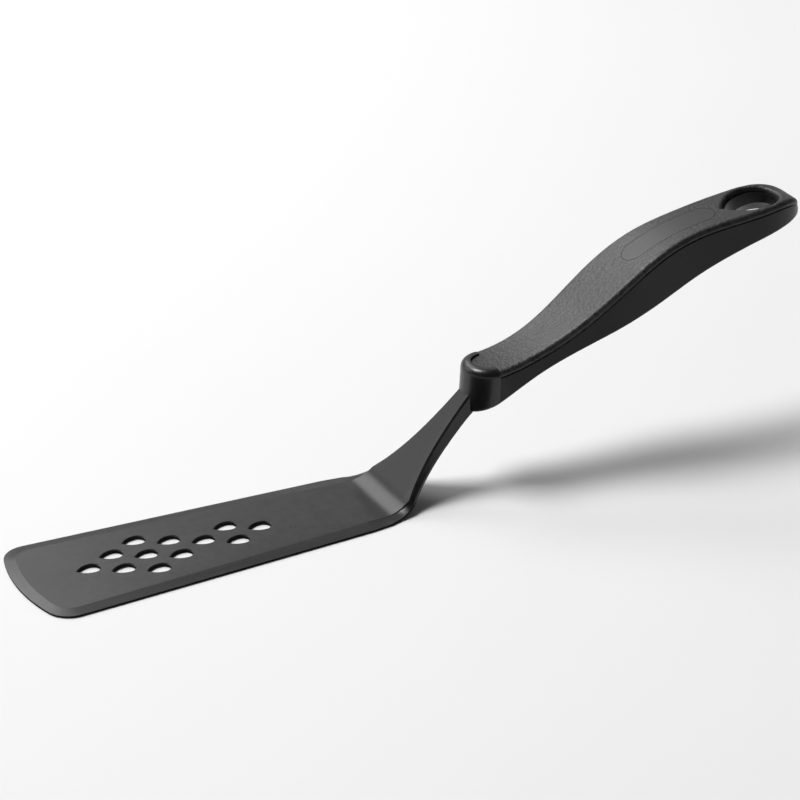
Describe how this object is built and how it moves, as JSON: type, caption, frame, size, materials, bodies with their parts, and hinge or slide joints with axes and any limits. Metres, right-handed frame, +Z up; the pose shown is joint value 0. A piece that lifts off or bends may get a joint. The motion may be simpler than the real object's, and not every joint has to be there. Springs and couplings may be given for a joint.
{
  "type": "grill spatula",
  "caption": "Cranked turner with a slotted, bevelled blade, a swept-up neck with a half-round collar, and a hollow handle with a textured grip cap and a hanging eye.",
  "frame": {"origin": "on the blade's flat underside, halfway along the tool's length and on its middle plane", "axes": "+X from the blade's front edge to the end of the handle, +Y across the blade, +Z up out of the blade's top"},
  "size_m": [0.2862, 0.0488, 0.0794],
  "materials": {
    "head_nylon": "satin black moulded nylon",
    "body_plastic": "smooth semi-gloss black",
    "cap_plastic": "fine spark-eroded texture, matt black",
    "plate_plastic": "smoother matt black"
  },
  "bodies": {
    "root": {"turner_head": "head_nylon", "handle_body": "body_plastic", "grip_cap": "cap_plastic", "label_plate": "plate_plastic"}
  },
  "joints": []
}
